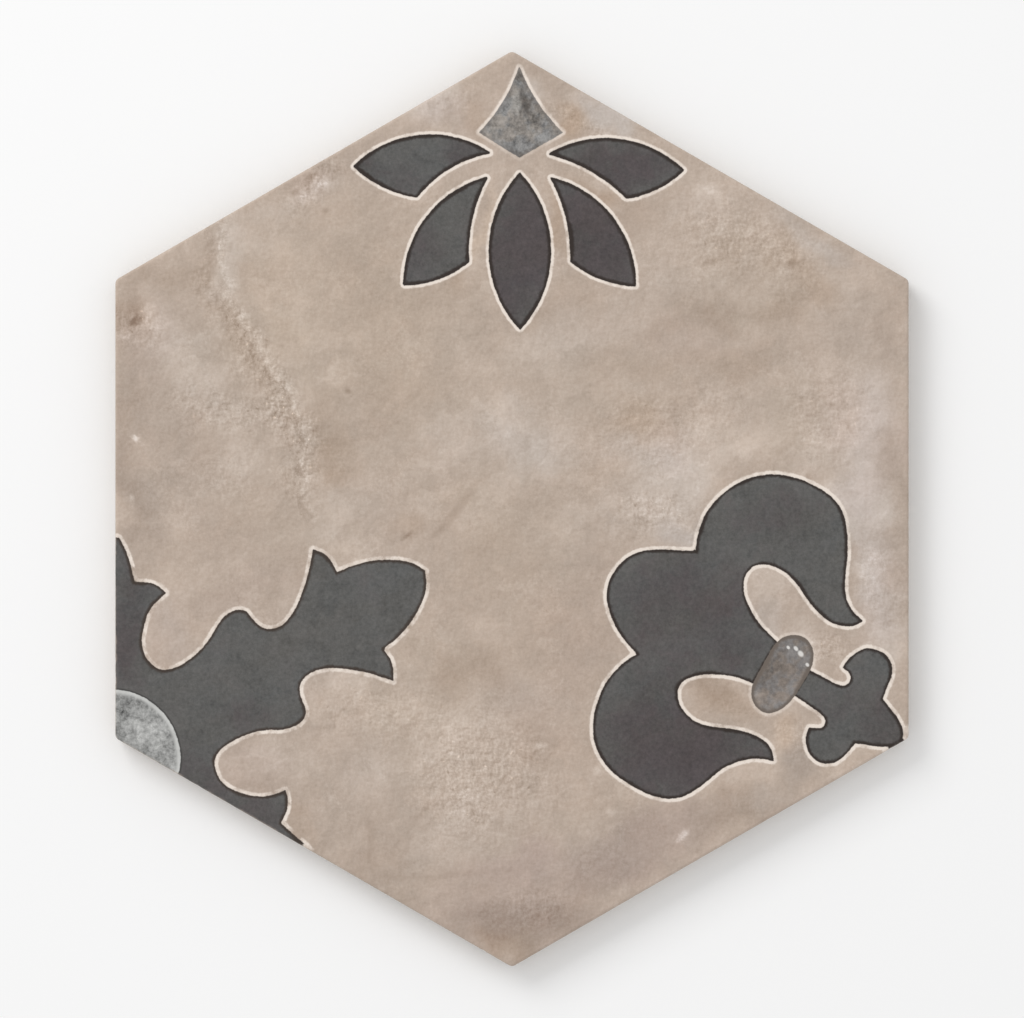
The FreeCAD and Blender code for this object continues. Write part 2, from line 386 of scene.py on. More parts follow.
class Sheet:
    """A node tree being written. A kind of node without a prefix is of the tree's own family."""

    def __init__(self, tree):
        self.tree = tree
        self.family = "GeometryNode" if tree.type == "GEOMETRY" else "ShaderNode"
        tree.nodes.clear()

    def node(self, kind, settings=None, inputs=None):
        """Makes a node, sets what it is, then fills its sockets. Returns its first output."""
        made = self.tree.nodes.new(kind if "Node" in kind else self.family + kind)
        for name, setting in (settings or {}).items():
            if name == "stops":
                ramp = made.color_ramp
                for number, (place, colour) in enumerate(setting):
                    stop = ramp.elements[number] if number < 2 else ramp.elements.new(place)
                    stop.position, stop.color = place, colour
            elif name == "entries":
                while len(made.index_switch_items) < setting:
                    made.index_switch_items.new()
            else:
                setattr(made, name, setting)
        for key, given in (inputs or {}).items():
            usable = [socket for socket in made.inputs if socket.enabled]
            named = [socket for socket in usable if socket.name == key]
            socket = usable[key] if isinstance(key, int) else named[0]
            for value in given if isinstance(given, list) else [given]:
                if isinstance(value, Value):
                    self.tree.links.new(value.socket, socket)
                elif socket.type == "RGBA" and len(value) == 3:
                    socket.default_value = (*value, 1.0)
                else:
                    socket.default_value = value
        usable = [socket for socket in made.outputs if socket.enabled]
        return Value(self, usable[0]) if usable else None

    def math(self, operation, *values):
        return self.node("ShaderNodeMath", {"operation": operation}, dict(enumerate(values)))

    def larger(self, *values):
        return self.math("MAXIMUM", *values)

    def smaller(self, *values):
        return self.math("MINIMUM", *values)

    def vector(self, x, y, z):
        return self.node("ShaderNodeCombineXYZ", None, {"X": x, "Y": y, "Z": z})

    def parts(self, vector):
        first = self.node("ShaderNodeSeparateXYZ", None, {0: vector})
        return first, first.out("Y"), first.out("Z")

    def step(self, value, low, high, start=0.0, end=1.0):
        """Rises smoothly from start to end while the value goes from low to high."""
        return self.node(
            "ShaderNodeMapRange",
            {"interpolation_type": "SMOOTHSTEP"},
            {"Value": value, "From Min": low, "From Max": high, "To Min": start, "To Max": end},
        )

    def mix(self, share, first, second):
        """Colour: the first where share is 0, the second where it is 1."""
        return self.node(
            "ShaderNodeMix", {"data_type": "RGBA"}, {"Factor": share, "A": first, "B": second}
        )


def linear(red, green, blue):
    """A colour as it looks on a screen, 0 to 255, as the amount of light it reflects."""
    return tuple(
        c / 12.92 if c <= 0.04045 else ((c + 0.055) / 1.055) ** 2.4
        for c in (red / 255, green / 255, blue / 255)
    )


SOCKET_KINDS = {
    float: "NodeSocketFloat",
    int: "NodeSocketInt",
    bpy.types.Material: "NodeSocketMaterial",
}


def body_nodes(amounts):
    """The pressed body under the printed face: side, foot bevel and keyed back."""
    tree = bpy.data.node_groups.new("Pressed tile body", "GeometryNodeTree")
    sheet = Sheet(tree)
    tree.interface.new_socket(name="Printed Face", in_out="INPUT", socket_type="NodeSocketGeometry")
    for name, amount in amounts.items():
        tree.interface.new_socket(name=name, in_out="INPUT", socket_type=SOCKET_KINDS[type(amount)])
    tree.interface.new_socket(name="Tile", in_out="OUTPUT", socket_type="NodeSocketGeometry")
    given = sheet.node("NodeGroupInput")
    face = given.out("Printed Face")
    touching = 0.01 * MM
    height, arris = given.out("Thickness"), given.out("Arris Radius")
    position = sheet.node("InputPosition")
    index = sheet.node("InputIndex")

    def open_edges():
        beside = sheet.node("InputMeshEdgeNeighbors")
        return sheet.node(
            "FunctionNodeCompare", {"data_type": "INT", "operation": "EQUAL"}, {"A": beside, "B": 1}
        )

    def loop_of(mesh, selection):
        return sheet.node("MeshToCurve", None, {"Mesh": mesh, "Selection": selection})

    def both(first, second):
        return sheet.node("FunctionNodeBooleanMath", {"operation": "AND"}, {0: first, 1: second})

    # The border of the face, made to run counter-clockwise so that the side grows outwards
    border = loop_of(face, open_edges())
    tangent = sheet.node("InputTangent")
    turning = position.work("CROSS_PRODUCT", position, tangent)
    sampled = sheet.node(
        "SampleIndex",
        {"data_type": "FLOAT_VECTOR", "domain": "POINT"},
        {"Geometry": border, "Value": turning, "Index": 0},
    )
    clockwise = sheet.parts(sampled)[2] < 0.0
    border = sheet.node("ReverseCurve", None, {"Curve": border, "Selection": clockwise})
    border = sheet.node("SetCurveNormal", {"mode": "Z_UP"}, {"Curve": border})

    # Half section of the side: quarter round arris, upright side, bevelled foot
    steps = given.out("Arris Steps")
    line = sheet.node("MeshLine", {"mode": "OFFSET"}, {"Count": steps + 3})
    angle = sheet.smaller(index, steps) / steps * (math.pi / 2)
    on_foot = index > steps + 0.5
    at_bottom = index > steps + 1.5
    out = arris * sheet.math("SINE", angle) - at_bottom * given.out("Foot Inset")
    drop = arris * (1.0 - sheet.math("COSINE", angle))
    drop = drop + on_foot * (height - given.out("Foot Height") - arris)
    drop = drop + at_bottom * given.out("Foot Height")
    section = sheet.node(
        "SetPosition", None, {"Geometry": line, "Position": sheet.vector(out, drop, 0.0)}
    )
    section = sheet.node("MeshToCurve", None, {"Mesh": section})
    side = sheet.node("CurveToMesh", None, {"Curve": border, "Profile Curve": section})

    # The arris is knocked a little here and there, inwards only
    x, y, z = sheet.parts(position)
    knocks = sheet.node(
        "ShaderNodeTexNoise",
        {"noise_dimensions": "4D"},
        {"Vector": position, "W": given.out("Wear Seed"), "Scale": 330.0, "Detail": 3.0},
    )
    knock = sheet.step(knocks, 0.6, 0.78) * given.out("Arris Wear")
    inwards = sheet.node("ShaderNodeVectorMath", {"operation": "NORMALIZE"}, {0: sheet.vector(x, y, 0.0)})
    push = inwards * sheet.vector(knock, knock, knock) * -1.0
    on_arris = both(z < height - arris * 0.05, z > height - arris * 1.05)
    side = sheet.node("SetPosition", None, {"Geometry": side, "Selection": on_arris, "Offset": push})

    # One recess with its share of the ribs: six rings of seven points, the seventh on the first
    ring = sheet.math("FLOOR", (index + 0.5) / 7.0)
    angle = (index - ring * 7.0) * (math.pi / 3)
    corner = given.out("Recess Side")
    depth, lip = given.out("Recess Depth"), given.out("Mouth Rounding")
    lean = sheet.math("TANGENT", given.out("Recess Draft")) * (1 / math.cos(math.pi / 6))
    floor_corner = corner - depth * lean
    radii = [
        given.out("Recess Pitch") * (1 / math.sqrt(3)),
        corner + lip,
        corner - lip * lean * 0.45,
        floor_corner + lip * lean * 0.3,
        floor_corner - lip * 0.6,
        corner * 0.0,
    ]
    levels = [0.0, 0.0, lip * 0.45, depth - lip * 0.3, depth, depth]

    def by_ring(values):
        inputs = {str(number): value for number, value in enumerate(values)}
        settings = {"data_type": "FLOAT", "entries": len(values)}
        return sheet.node("IndexSwitch", settings, {"Index": ring, **inputs})

    radius, level = by_ring(radii), by_ring(levels)
    place = sheet.vector(radius * sheet.math("COSINE", angle), radius * sheet.math("SINE", angle), level)
    recess = sheet.node("MeshGrid", None, {"Vertices X": len(radii), "Vertices Y": 7})
    recess = sheet.node("SetPosition", None, {"Geometry": recess, "Position": place})
    recess = sheet.node("MergeByDistance", None, {"Geometry": recess, "Distance": touching})

    # The recesses stand on a triangular lattice, as many rings as wanted round the middle one
    rings = given.out("Recess Rings")
    row_length = rings * 2.0 + 1.0
    row = sheet.math("FLOOR", (index + 0.5) / row_length)
    across = row - rings
    up = index - row * row_length - rings
    pitch = given.out("Recess Pitch")
    spot = sheet.vector(across * pitch * (math.sqrt(3) / 2), (up + across * 0.5) * pitch, 0.0)
    lattice = sheet.node("Points", None, {"Count": row_length * row_length, "Position": spot})
    beyond = abs(across + up) > rings + 0.5
    # points past the last ring go, which cuts the rhombus of points down to a hexagon
    lattice = sheet.node("DeleteGeometry", None, {"Geometry": lattice, "Selection": beyond})
    keys = sheet.node("InstanceOnPoints", None, {"Points": lattice, "Instance": recess})
    keys = sheet.node("RealizeInstances", None, {"Geometry": keys})
    keys = sheet.node("MergeByDistance", None, {"Geometry": keys, "Distance": 2 * touching})

    # The plain rim between the recesses and the foot
    low = z < touching
    loops = [loop_of(side, both(open_edges(), low)), loop_of(keys, open_edges())]
    loops = sheet.node("JoinGeometry", None, {"Geometry": loops})
    rim = sheet.node("FillCurve", {"mode": "TRIANGLES"}, {"Curve": loops})

    whole = sheet.node("JoinGeometry", None, {"Geometry": [rim, keys, side, face]})
    whole = sheet.node("MergeByDistance", None, {"Geometry": whole, "Distance": 2 * touching})
    whole = sheet.node("RealizeInstances", None, {"Geometry": whole})
    whole = sheet.node("SetMaterial", None, {"Geometry": whole, "Material": given.out("Body Finish")})
    printed = z > height - arris
    whole = sheet.node(
        "SetMaterial",
        None,
        {"Geometry": whole, "Selection": printed, "Material": given.out("Print Finish")},
    )
    sheet.node("NodeGroupOutput", None, {"Tile": whole})
    return tree


def outward(x, y):
    """Unit vector straight out of the tile's edge, from the flat or the corner nearest to x, y."""
    flat = np.round(np.degrees(np.arctan2(y, x)) / 60) * 60
    nx, ny = np.cos(np.radians(flat)), np.sin(np.radians(flat))
    along = -x * ny + y * nx
    straight = (HALF - CORNER_RADIUS) * math.tan(math.radians(30))
    over = np.sign(along) * np.maximum(np.abs(along) - straight, 0)
    from_flat = x * nx + y * ny - (HALF - CORNER_RADIUS)
    ox, oy = nx * from_flat - ny * over, ny * from_flat + nx * over
    length = np.maximum(np.hypot(ox, oy), 1e-9)
    return ox / length, oy / length


# The map: its free border, how much of it a millimetre takes, the side's six strips and the back
MAP_BORDER, MAP_SCALE = 0.008, 0.0035
STRIPS_AT, STRIP_LENGTH, STRIP_HEIGHT = 0.893, 128.0, 9.6
BACK_AT, BACK_SCALE, HALF_BACK_ROOM = (0.778, 0.02), 0.00158, 225.0


def unwrap(mesh):
    """The map that the finishes are baked through: face, then side, then the back in halves."""
    layer = mesh.uv_layers.new(name="OFBake")
    for polygon in mesh.polygons:
        middle, normal = polygon.center / MM, polygon.normal
        for loop in polygon.loop_indices:
            x, y, z = mesh.vertices[mesh.loops[loop].vertex_index].co / MM
            if middle.z > THICKNESS - ARRIS_RADIUS:
                # the arris is laid out flat round the face
                fall = min(max((THICKNESS - z) / ARRIS_RADIUS, 0.0), 1.0)
                angle = math.acos(1 - fall)
                ox, oy = outward(x, y)
                extra = ARRIS_RADIUS * (angle - math.sin(angle))
                u = MAP_BORDER + (x + ox * extra + HALF + 1) * MAP_SCALE
                v = MAP_BORDER + (y + oy * extra + CORNER + 0.8) * MAP_SCALE
            elif normal.z > -0.85:
                side = round(math.degrees(math.atan2(middle.y, middle.x)) / 60) % 6
                bearing = math.radians(60 * side)
                along = -x * math.sin(bearing) + y * math.cos(bearing)
                u = MAP_BORDER + (along + STRIP_LENGTH / 2 - 1 + STRIP_LENGTH * (side % 2)) * MAP_SCALE
                v = STRIPS_AT + (z + 0.4 + STRIP_HEIGHT * (side // 2)) * MAP_SCALE
            else:
                half = 1 if middle.y > 0 else -1
                u = BACK_AT[0] + (y * half + 8.0) * BACK_SCALE
                v = BACK_AT[1] + (x * half + HALF + (HALF_BACK_ROOM if half > 0 else 0.0)) * BACK_SCALE
            layer.data[loop].uv = (u, v)


FOLD_ANGLE = 24.0


def finish_mesh(mesh):
    """Faces outwards, smooth where the form is rounded and crisp where it is folded."""
    work = bmesh.new()
    work.from_mesh(mesh)
    bmesh.ops.recalc_face_normals(work, faces=work.faces)
    loose = [edge for edge in work.edges if len(edge.link_faces) != 2]
    if loose or work.calc_volume() <= 0:
        raise RuntimeError("the tile isn't closed: %d edges" % len(loose))
    for face in work.faces:
        face.smooth = True
    for edge in work.edges:
        edge.smooth = edge.calc_face_angle(0.0) < math.radians(FOLD_ANGLE)
    work.to_mesh(mesh)
    work.free()


def uneven(sheet, dimensions, place, size, detail, roughness):
    """Noise about 0, its largest forms as wide as size."""
    inputs = {"Vector": place, "Scale": 1 / size, "Detail": detail, "Roughness": roughness}
    return sheet.node("TexNoise", {"noise_dimensions": dimensions}, inputs) - 0.5


def clouds(sheet, place, size, detail, roughness, apart=0.0):
    """Uneven noise over the face. Those with another number apart have nothing in common."""
    place = place + (17.3 * apart, 31.7 * apart, 0.0) if apart else place
    return uneven(sheet, "2D", place, size, detail, roughness)


def specks(sheet, cells, chance, widest, share):
    """Scattered small dots: 1 on a dot. The share says how many of the cells hold one."""
    radius = sheet.larger(chance - (1 - share), 0.0) * (widest / share / SPECK_SPACING)
    return 1 - sheet.step(cells / sheet.larger(radius, 0.001), 0.55, 1.15)


def laid_over(sheet, place, middle, turn, scale):
    """Places seen from that middle, along axes turned and stretched by that much."""
    inputs = {
        "Vector": place,
        "Location": (*middle, 0.0),
        "Rotation": (0.0, 0.0, math.radians(turn)),
        "Scale": (*scale, 1.0),
    }
    return sheet.node("Mapping", {"vector_type": "TEXTURE"}, inputs)


def patch(sheet, place, x, y, length, width, turn, soft=0.8):
    """1 in the middle of an oval place on the face, falling to 0 at its border."""
    local = laid_over(sheet, place, (x, y), turn, (length / 2, width / 2))
    away = local.work("LENGTH", local).out("Value")
    return 1 - sheet.step(away, 1 - soft, 1 + soft * 0.4)


# Clouding of the drawn ground: x, y, length, width, turn, lighter or darker, and warmer or cooler
# where it differs from 0. The last two are in steps of 255 on a screen.
GROUND_PATCHES = [
    # left edge: brown corner, pale smear, grey band and cloud
    (-106, 54, 14, 12, 0, -16, 2), (-101, 63, 14, 9, 30, -10), (-98, 52, 10, 14, -20, 4, 2),
    (-88, 65, 24, 9, 25, -8, 1), (-87, 40, 40, 15, -52, 7, -1), (-72, 18, 26, 15, -62, 8),
    (-105, 22, 58, 13, 90, -9, -1), (-102, -1, 42, 16, 90, -12, -3), (-90, 17, 34, 18, -70, -6, -1),
    (-84, -12, 40, 26, 80, -2), (-92, -34, 16, 20, 30, -2, -3),
    # along the crack
    (-76, 68, 32, 9, 95, 9, -2), (-64, 82, 20, 8, 30, 4, -1), (-54, 86, 16, 9, 20, 3, -1),
    (-70, 42, 52, 6, -58, -6, 1), (-60, 58, 30, 22, -50, 3, 1), (-70, 61, 26, 12, 0, -6),
    (-52, 32, 36, 16, -10, 6), (-52, 24, 30, 13, -80, -6, 1), (-47, 12, 14, 12, 0, -7, 3),
    (-34, 33, 34, 22, 20, -5, 1), (-38, 62, 30, 36, 80, -5), (-30, 50, 42, 12, 25, -4),
    (-61, 46, 12, 20, 0, 5, 2), (-45, 0, 24, 14, 15, 6), (-51, -8, 10, 6, 0, 6),
    (-45, -12, 18, 10, 0, 12, 2), (-63, -26, 12, 16, 0, 5),
    # middle
    (3, 18, 24, 22, 60, 8, -3), (-10, 20, 30, 22, 20, 4, -1), (12, 44, 26, 22, 0, 5, -1),
    (2, 31, 30, 30, 60, 4, 1), (12, 17, 22, 24, 0, 6, -1), (24, 3, 18, 16, 0, 4),
    (6, 52, 10, 10, 0, -5, 2), (40, 52, 14, 14, 0, -5), (-12, 46, 14, 14, 0, 4), (19, -10, 20, 18, 0, 6),
    (-14, 3, 12, 7, 45, -3, 1), (-27, -6, 14, 8, 30, -6, 3), (-4, -14, 34, 18, 70, -3, 1),
    (12, -36, 64, 30, 80, -5),
    # brown streaks towards the upper right corner, and the pale strokes between
    (42, 48, 30, 10, 20, -5, 1), (40, 33, 16, 10, 0, -5), (56, 52, 22, 14, 10, -15),
    (74, 55, 16, 14, 40, -11, 2), (54, 40, 50, 11, 6, -8, 2), (28, 38, 24, 14, 20, -4, 1),
    (36, 23, 19, 11, 20, -9, 3), (57, 29, 40, 8, 14, 2), (79, 63, 24, 8, -52, -7, 3),
    (92, 49, 24, 22, -30, 0, -1), (56, 70, 34, 10, 30, -3, 1), (50, 83, 24, 16, 0, -1, -2),
    (50, 91, 11, 9, 0, 16), (50, 66, 12, 12, 0, 6), (80, 55, 14, 10, 0, 6), (88, 28, 12, 12, 0, 7),
    (34, 77, 10, 22, -30, -6), (87, 62, 20, 14, -30, 7), (61, 68, 26, 12, 20, -6, -1),
    (82, 74, 30, 8, -30, 4, -5), (16, 60, 24, 8, 10, -2, 1), (24, 10, 16, 12, 40, -4, 1),
    # cool pale patches above the lily and along the right edge
    (41, 4, 32, 26, 70, 6, -3), (46, -6, 18, 10, 0, 0, -7), (50, 9, 20, 8, 30, 8),
    (36, 16, 28, 10, 0, 0, -3), (48, 28, 11, 24, 0, -5), (53, 16, 28, 14, 25, 5, -1),
    (70, 14, 22, 6, -20, 5), (66, 20, 34, 14, 5, 6, 1), (84, 18, 18, 20, 60, 6, -1),
    (97, 22, 28, 16, 80, 10, -3), (96, 0, 26, 14, 90, 8, -3), (93, 7, 22, 14, 80, 9),
    (97, 33, 14, 12, 0, 6), (99, -22, 34, 16, 85, 15, -4), (97, -14, 30, 12, 90, 5),
    (81, -38, 10, 14, 0, 12), (104, 48, 28, 8, 90, -6, -1), (105, 10, 20, 5, 90, -7, -1),
    # in the lily's gaps
    (58, -53, 24, 10, -4, -9, 3), (54, -48, 14, 9, 0, -12, 2), (76, -62, 12, 14, -20, 1, 6),
    (71, -22, 14, 14, 30, 8), (69, -31, 10, 10, 0, 2, -4),
    # lower half
    (-45, -54, 32, 18, 5, 7, 2), (-46, -48, 20, 10, 0, 10), (-18, -62, 34, 24, 60, 5),
    (-14, -48, 26, 18, -10, -15), (-21, -38, 14, 10, 0, -6), (4, -61, 22, 12, -30, -6),
    (0, -50, 22, 16, 30, 1, -2), (-65, -68, 28, 14, 0, 13, 1), (-60, -86, 20, 10, -40, -5, 2),
    (-13, -86, 34, 16, 12, 6), (-40, -72, 24, 20, 0, 3, -1), (5, -69, 11, 9, 0, 4),
    (14, -70, 18, 18, 30, -3), (20, -66, 10, 16, 0, -4), (8, -96, 34, 14, 5, -4, -2),
    (4, -113, 46, 16, 5, -20, -4), (0, -119, 16, 8, 0, -7, 4), (33, -91, 44, 18, 24, -14, -4),
    (27, -80, 18, 12, 0, -5), (58, -82, 28, 14, 24, -16, -2), (58, -75, 16, 6, 20, -9),
    (78, -71, 20, 9, 28, -14, -6), (66, -77, 10, 8, 30, 3, -3), (-36, -98, 28, 15, -30, -8, -1),
    (20, -104, 24, 8, 30, -6),
    # round the fan
    (-16, 111, 20, 10, 30, 15, -3), (-6, 109, 8, 12, 0, -5, 3), (16, 104, 10, 8, 0, -8, 8),
    (8, 114, 9, 9, -50, 14, -4), (26, 106, 22, 9, -30, 10, -7), (13, 78, 6, 28, 10, -9, 5),
    (23, 88, 24, 8, -40, -14, 4), (-9, 77, 6, 28, -8, 11, 5), (-22, 88, 20, 6, 30, 2, 1),
    (-13, 63, 8, 12, 0, -6, 3), (-47, 92, 10, 7, 30, 7, -2),
    # broad washes of warmer and cooler ground
    (-42, 50, 90, 90, 0, 0, 1), (42, 50, 50, 40, 10, 0, -2), (0, -20, 60, 70, 20, 0, 1),
    (-92, 20, 40, 110, 0, 0, -0.5), (98, 10, 20, 90, 0, 0, -1),
]

# Where the ground leans to rose, or below 0 to olive: x, y, length, width, turn, amount
ROSE_PATCHES = [
    (-45, 50, 100, 80, 0, -1.0), (0, -5, 44, 40, 0, -0.7), (24, 34, 44, 30, 0, -0.6),
    (64, 62, 44, 40, -40, -0.7), (76, 24, 26, 34, 0, -0.7), (-60, 0, 44, 30, 0, -0.6),
    (-26, -48, 34, 44, 0, -0.6), (-92, -32, 24, 22, 0, 1.2), (-74, -24, 30, 14, 0, 0.8),
    (-70, -70, 26, 18, 0, 1.2), (-100, 48, 18, 24, 0, 1.2), (98, 22, 22, 34, 0, 1.6),
    (94, 2, 14, 20, 0, 1.6), (100, -22, 18, 36, 0, 1.4), (14, -46, 32, 70, -10, 0.9),
    (4, -106, 60, 30, 5, 2.4), (38, -91, 44, 24, 30, 2.8), (0, -97, 26, 12, 0, 1.5),
    (-55, 88, 16, 12, 0, 1.4), (-18, 110, 22, 12, 20, 1.4), (46, 20, 20, 14, 0, 1.0),
    (50, 45, 40, 14, 0, 0.9),
]

# Where the ground is granular: x, y, length, width, turn, amount
ROUGH_PATCHES = [
    (-81, 68, 26, 8, 90, 0.7), (-70, 42, 44, 10, -58, 1.0), (-60, 18, 38, 13, -80, 1.2),
    (-75, 27, 36, 16, -10, 0.9), (-80, 9, 20, 14, 0, 0.4), (-54, 87, 20, 10, 30, 1.2),
    (-101, 50, 16, 14, 0, 1.0), (-8, -72, 42, 36, -30, 1.1), (-36, -56, 34, 20, 0, 0.6),
    (5, -110, 20, 16, 0, 0.6), (62, 72, 42, 24, -20, 0.8), (86, 26, 26, 26, 0, 0.6),
    (38, -2, 26, 14, 0, 1.0), (38, 22, 50, 24, 20, 0.5), (22, 106, 18, 8, -25, 0.8),
    (-17, 110, 16, 8, 30, 0.4), (84, -40, 12, 10, 0, 1.0), (76, -62, 12, 14, 0, 0.6),
    (99, -20, 30, 14, 90, 0.5),
]

# Chips, nicks and strokes of the brush: x, y, length, width, turn, lighter or darker
MARKS = [
    (47, -89.5, 5.5, 2.2, 32, 40), (-103, 19.2, 2.8, 1.6, -55, 56), (-103.4, 3, 2.6, 1.8, 80, 24),
    (-28.5, -7, 4.6, 1.7, 42, -32), (-45.5, 33, 3, 1.5, -45, -22), (-51.5, 88.5, 5, 2.6, 20, 14),
    (-55, 90, 3.4, 2.4, 0, -17), (-59.5, 86, 3, 2.6, 0, -20), (-51, 81, 2.6, 2, 0, -16),
    (-57, 84, 7, 4, 30, 6), (-101, 51.5, 6, 3.4, 20, -22), (-105, 47.5, 5, 3, 0, 10),
    (-98, 52, 3.6, 5, 0, 4), (54, 67, 6, 2.4, 10, -20), (76, 67.5, 4.4, 3.8, 0, -19),
    (86.5, 27.5, 2.6, 2.2, 0, -18), (92, 22, 6, 2.2, -50, -13), (81, 9, 4, 2.4, 60, -13),
    (7, -64, 4.4, 2.6, 0, 17), (24, -71, 2.8, 2.6, 0, 17), (-12.5, -78, 5, 2.6, 0, 16),
    (-10.5, -83, 4, 2.6, 0, -13), (27, -82.5, 4, 2, 0, 13), (-17, -1.5, 22, 3.4, 52, -12),
    (-2.5, 21, 9, 2.6, 60, -8), (-38, -91, 20, 2.4, 95, -6), (-17, -99.5, 40, 2.4, 2, -7),
    (-24, -83, 18, 2.4, 50, -6),
    # darker lip beside the crack
    (-82.6, 68, 19, 3.2, 92, -8), (-78.8, 54, 13, 3.4, 105, -10),
]
SPECK_SPACING = 2.4

# Where the ink turns from grey-green to brown-violet: x, y, length, width, turn, amount
INK_PATCHES = [
    (2, 70, 54, 30, 90, 0.75), (24, 72, 44, 28, -60, 0.85), (30, 94, 40, 16, 0, 0.65),
    (-26, 68, 20, 22, 0, 0.5), (-30, 90, 22, 12, 0, 0.3), (-40, 93, 12, 10, 0, 0.5),
    (-12, 97, 12, 10, 0, 0.6), (46, -26, 46, 32, 0, 0.5), (62, -38, 24, 14, 0, 0.3),
    (40, -62, 54, 42, 20, 0.68), (59, -67, 36, 14, 0, 0.4), (73, -2, 26, 20, 0, 0.35),
    (102, -60, 20, 18, 0, 0.5), (88, -52, 14, 12, 0, 0.3), (-76, -80, 56, 22, -30, 0.4),
    (-105, -28, 50, 14, 90, 0.55), (-75, -57, 22, 12, -10, 0.35),
]


# What is drawn from the listed patches, with how far its borders wander and where in the noise
HAND_LAYERS = {
    ("lighter", "warmer"): (GROUND_PATCHES, 7.0, 3.0),
    ("violet",): (INK_PATCHES, 6.0, 21.0),
    ("rosy",): (ROSE_PATCHES, 7.0, 27.0),
    ("rough",): (ROUGH_PATCHES, 6.0, 13.0),
    ("marks",): (MARKS, 1.6, 33.0),
}
# The noise starts at a new place in every session unless its seed is set
WANDER_SEED = 9


def drawn_by_hand(points, patches, wander, level):
    """Sums oval patches over the points. Their borders wander as a sponge's do."""
    noise.seed_set(WANDER_SEED)
    total = np.zeros((len(points), 2))
    moved = np.empty_like(points)
    for number, (x, y) in enumerate(points):
        wide = noise.noise_vector((x / 19, y / 19, level))
        close = noise.noise_vector((x / 6.5, y / 6.5, level + 9))
        moved[number] = (x + wander * (wide.x + 0.5 * close.x), y + wander * (wide.y + 0.5 * close.y))
    for x, y, length, width, turn, *amounts in patches:
        angle = math.radians(turn)
        away = moved - (x, y)
        along = (away[:, 0] * math.cos(angle) + away[:, 1] * math.sin(angle)) / (length / 2)
        across = (away[:, 1] * math.cos(angle) - away[:, 0] * math.sin(angle)) / (width / 2)
        fade = np.clip((np.hypot(along, across) - 0.25) / 1.05, 0, 1)
        total[:, :len(amounts)] += (1 - fade * fade * (3 - 2 * fade))[:, None] * np.array(amounts)
    return total


def new_finish(name):
    material = bpy.data.materials.new(name)
    material.use_nodes = True
    return material, Sheet(material.node_tree)


def close_finish(sheet, colour, roughness, specular, relief, strength, depth):
    """The shader of a finish. Its relief is a bump, with the depth in metres."""
    bump = sheet.node("Bump", None, {"Strength": strength, "Distance": depth, "Height": relief})
    inputs = {"Base Color": colour, "Roughness": roughness, "Normal": bump, "Specular IOR Level": specular}
    shader = sheet.node("BsdfPrincipled", None, inputs)
    sheet.node("OutputMaterial", None, {"Surface": shader})


# Colours of the ground between its darkest and its lightest tone, which lie so many steps apart:
# place on that scale and colour. The ends come first.
TONE_RANGE = 84.0
GROUND_TONES = [
    (0.0, 138, 118, 102), (1.0, 228, 217, 208),
    (0.25, 163, 145.5, 131), (0.5, 185.5, 169.4, 155.8), (0.75, 206, 192, 180),
]
# Bright chips on the oval stone: x, y, length, width
STONE_CHIPS = [
    (77.3, -38.0, 1.7, 1.1), (78.6, -39.4, 2.1, 1.5), (80.4, -42.4, 1.3, 1.0), (75.2, -37.7, 1.2, 0.9),
]


